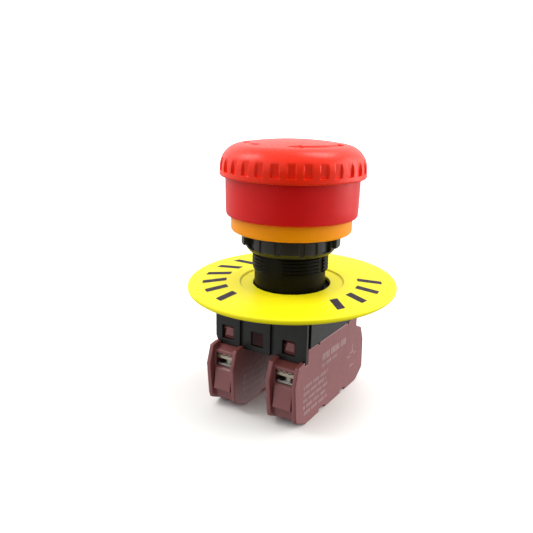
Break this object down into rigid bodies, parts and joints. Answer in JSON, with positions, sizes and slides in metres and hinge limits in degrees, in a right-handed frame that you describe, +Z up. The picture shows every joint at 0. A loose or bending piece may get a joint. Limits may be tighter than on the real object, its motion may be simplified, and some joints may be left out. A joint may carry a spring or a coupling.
{
  "type": "emergency stop button",
  "caption": "Mushroom-head twist-release emergency stop button for a 22 mm panel hole, with a round legend plate, a locking ring, a clip-on adapter and screw-terminal contact blocks.",
  "frame": {"origin": "on the neck's axis, level with the lower edges of the contact blocks, which the object stands on", "axes": "+Z up the neck's axis towards the mushroom head; -Y towards the adapter's three spring fingers and the blocks' front terminals; +X to the right block"},
  "size_m": [0.0599, 0.0599, 0.0751],
  "materials": {
    "red_cap": "glossy moulded red plastic, slightly translucent at the edges",
    "red_skirt": "satin moulded dark red plastic",
    "amber_plastic": "glossy moulded amber plastic",
    "yellow_plate": "smooth yellow plastic sheet",
    "black_plastic": "satin black moulded plastic",
    "grey_plastic": "fine-grained anthracite moulded plastic",
    "maroon_plastic": "satin dusky red moulded plastic",
    "maroon_plunger": "smooth dark red moulded plastic",
    "inner_plastic": "smooth dark grey acetal",
    "black_rubber": "matte black rubber",
    "spring_steel": "drawn spring wire",
    "zinc_steel": "zinc-plated steel",
    "brass_strip": "punched brass strip",
    "silver_contact": "silver alloy",
    "dark_ink": "dark print on the legend plate",
    "pale_ink": "pale print on the contact blocks"
  },
  "bodies": {
    "operator": {"operator_body": "black_plastic", "bezel_ring": "amber_plastic", "panel_gasket": "black_rubber", "return_spring": "spring_steel", "stem_seal": "black_rubber"},
    "plunger": {"push_plunger": "inner_plastic", "plunger_lid": "inner_plastic", "reset_spring": "spring_steel"},
    "head": {"button_cap": "red_cap", "button_skirt": "red_skirt", "turn_stem": "inner_plastic", "stem_clip": "spring_steel", "head_screw": "zinc_steel", "screw_washer": "zinc_steel"},
    "latch_front": {"latch_front": "inner_plastic"},
    "latch_rear": {"latch_rear": "inner_plastic"},
    "ring_washer": {"ring_washer": "zinc_steel"},
    "locking_ring": {"locking_ring": "black_plastic"},
    "legend_plate": {"legend_plate": "yellow_plate"},
    "base": {"mounting_adapter": "grey_plastic", "left_block_housing": "maroon_plastic", "left_block_cover": "maroon_plastic", "left_block_return_spring": "spring_steel", "left_block_terminal_front": "brass_strip", "left_block_terminal_rear": "brass_strip", "left_block_fixed_tips": "silver_contact", "right_block_housing": "maroon_plastic", "right_block_cover": "maroon_plastic", "right_block_return_spring": "spring_steel", "right_block_terminal_front": "brass_strip", "right_block_terminal_rear": "brass_strip", "right_block_fixed_tips": "silver_contact"},
    "transfer_slider": {"transfer_slider": "inner_plastic"},
    "left_contacts": {"left_block_plunger": "maroon_plunger", "left_block_bridge": "brass_strip", "left_block_moving_tips": "silver_contact", "left_block_contact_spring": "spring_steel"},
    "left_front_clamp": {"left_block_clamp_front": "zinc_steel"},
    "left_front_screw": {"left_block_screw_front": "zinc_steel"},
    "left_rear_clamp": {"left_block_clamp_rear": "zinc_steel"},
    "left_rear_screw": {"left_block_screw_rear": "zinc_steel"},
    "right_contacts": {"right_block_plunger": "maroon_plunger", "right_block_bridge": "brass_strip", "right_block_moving_tips": "silver_contact", "right_block_contact_spring": "spring_steel"},
    "right_front_clamp": {"right_block_clamp_front": "zinc_steel"},
    "right_front_screw": {"right_block_screw_front": "zinc_steel"},
    "right_rear_clamp": {"right_block_clamp_rear": "zinc_steel"},
    "right_rear_screw": {"right_block_screw_rear": "zinc_steel"}
  },
  "joints": [
    {"name": "button_press", "type": "slide", "parent": "operator", "child": "plunger", "axis": [0, 0, -1], "range_m": [0, 0.004], "stiffness_N_per_m": 1500, "springref_m": -0.004, "deforming": ["return_spring"]},
    {"name": "head_turn", "type": "hinge", "parent": "plunger", "child": "head", "pos_m": [0, 0, 0.05], "axis": [0, 0, 1], "range_deg": [-45, 0], "stiffness_Nm_per_rad": 0.05, "springref_deg": 28.65, "deforming": ["reset_spring"]},
    {"name": "latch_front_slide", "type": "slide", "parent": "plunger", "child": "latch_front", "axis": [0, 1, 0], "range_m": [0, 0.0012]},
    {"name": "latch_rear_slide", "type": "slide", "parent": "plunger", "child": "latch_rear", "axis": [0, -1, 0], "range_m": [0, 0.0012]},
    {"name": "ring_travel", "type": "slide", "parent": "operator", "child": "ring_washer", "axis": [0, 0, 1], "range_m": [-0.005, 0]},
    {"name": "ring_turn", "type": "hinge", "parent": "ring_washer", "child": "locking_ring", "pos_m": [0, 0, 0.0468], "axis": [0, 0, 1], "range_deg": [-1800, 0]},
    {"name": "adapter_release", "type": "slide", "parent": "base", "child": "operator", "axis": [0, 0, 1], "range_m": [0, 0.03]},
    {"name": "legend_plate_lift", "type": "slide", "parent": "base", "child": "legend_plate", "axis": [0, 0, 1], "range_m": [0, 0.0034]},
    {"name": "transfer_slide", "type": "slide", "parent": "base", "child": "transfer_slider", "axis": [0, 0, -1], "range_m": [0, 0.004]},
    {"name": "left_contact_slide", "type": "slide", "parent": "base", "child": "left_contacts", "axis": [0, 0, -1], "range_m": [0, 0.004], "deforming": ["left_block_return_spring"]},
    {"name": "left_front_clamp_slide", "type": "slide", "parent": "base", "child": "left_front_clamp", "axis": [0, 0, 1], "range_m": [0, 0.0014]},
    {"name": "left_front_screw_turn", "type": "hinge", "parent": "left_front_clamp", "child": "left_front_screw", "pos_m": [-0.0095, -0.0156, 0.0108], "axis": [0, 0, 1], "range_deg": [0, 840]},
    {"name": "left_rear_clamp_slide", "type": "slide", "parent": "base", "child": "left_rear_clamp", "axis": [0, 0, 1], "range_m": [0, 0.0014]},
    {"name": "left_rear_screw_turn", "type": "hinge", "parent": "left_rear_clamp", "child": "left_rear_screw", "pos_m": [-0.0095, 0.0173, 0.0108], "axis": [0, 0, 1], "range_deg": [0, 840]},
    {"name": "right_contact_slide", "type": "slide", "parent": "base", "child": "right_contacts", "axis": [0, 0, -1], "range_m": [0, 0.004], "deforming": ["right_block_return_spring"]},
    {"name": "right_front_clamp_slide", "type": "slide", "parent": "base", "child": "right_front_clamp", "axis": [0, 0, 1], "range_m": [0, 0.0014]},
    {"name": "right_front_screw_turn", "type": "hinge", "parent": "right_front_clamp", "child": "right_front_screw", "pos_m": [0.0101, -0.0156, 0.0108], "axis": [0, 0, 1], "range_deg": [0, 840]},
    {"name": "right_rear_clamp_slide", "type": "slide", "parent": "base", "child": "right_rear_clamp", "axis": [0, 0, 1], "range_m": [0, 0.0014]},
    {"name": "right_rear_screw_turn", "type": "hinge", "parent": "right_rear_clamp", "child": "right_rear_screw", "pos_m": [0.0101, 0.0173, 0.0108], "axis": [0, 0, 1], "range_deg": [0, 840]}
  ],
  "couplings": [
    {"joint": "latch_front_slide", "follows": "head_turn", "m_per_rad": -0.0015279},
    {"joint": "latch_rear_slide", "follows": "head_turn", "m_per_rad": -0.0015279},
    {"joint": "ring_turn", "follows": "ring_travel", "rad_per_m": 6283.2},
    {"joint": "transfer_slide", "follows": "button_press", "ratio": 1},
    {"joint": "left_contact_slide", "follows": "button_press", "ratio": 1},
    {"joint": "left_front_screw_turn", "follows": "left_front_clamp_slide", "rad_per_m": 10472},
    {"joint": "left_rear_screw_turn", "follows": "left_rear_clamp_slide", "rad_per_m": 10472},
    {"joint": "right_contact_slide", "follows": "button_press", "ratio": 1},
    {"joint": "right_front_screw_turn", "follows": "right_front_clamp_slide", "rad_per_m": 10472},
    {"joint": "right_rear_screw_turn", "follows": "right_rear_clamp_slide", "rad_per_m": 10472}
  ]
}
